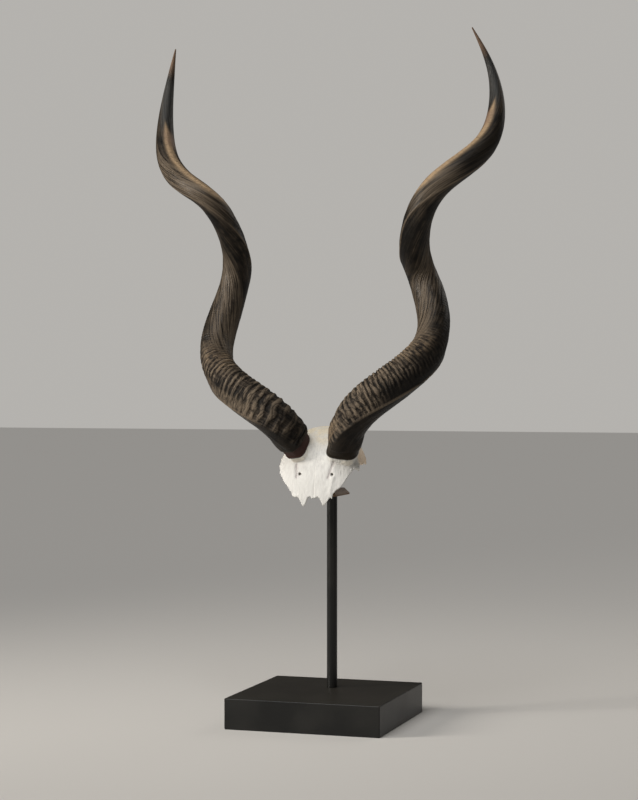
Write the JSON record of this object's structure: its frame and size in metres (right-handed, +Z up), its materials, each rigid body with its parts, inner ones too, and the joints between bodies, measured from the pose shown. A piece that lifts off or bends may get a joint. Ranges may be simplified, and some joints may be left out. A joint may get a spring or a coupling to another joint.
{
  "type": "kudu skull plate with horns on a stand",
  "caption": "Bleached skull plate with two corkscrew horns, carried on a round rod above a square base.",
  "frame": {"origin": "centre of the base's underside", "axes": "+Z up, front of the skull plate towards -Y, +X to the right of someone looking at the front"},
  "size_m": [0.6964, 0.3, 1.306],
  "materials": {
    "base_paint": "satin",
    "rod_paint": "satin",
    "block_wood": "matte",
    "bone": "matte",
    "horn": "satin"
  },
  "bodies": {
    "root": {"base": "base_paint", "rod": "rod_paint", "mounting_block": "block_wood", "skull_plate": "bone", "left_horn": "horn", "right_horn": "horn"}
  },
  "joints": []
}
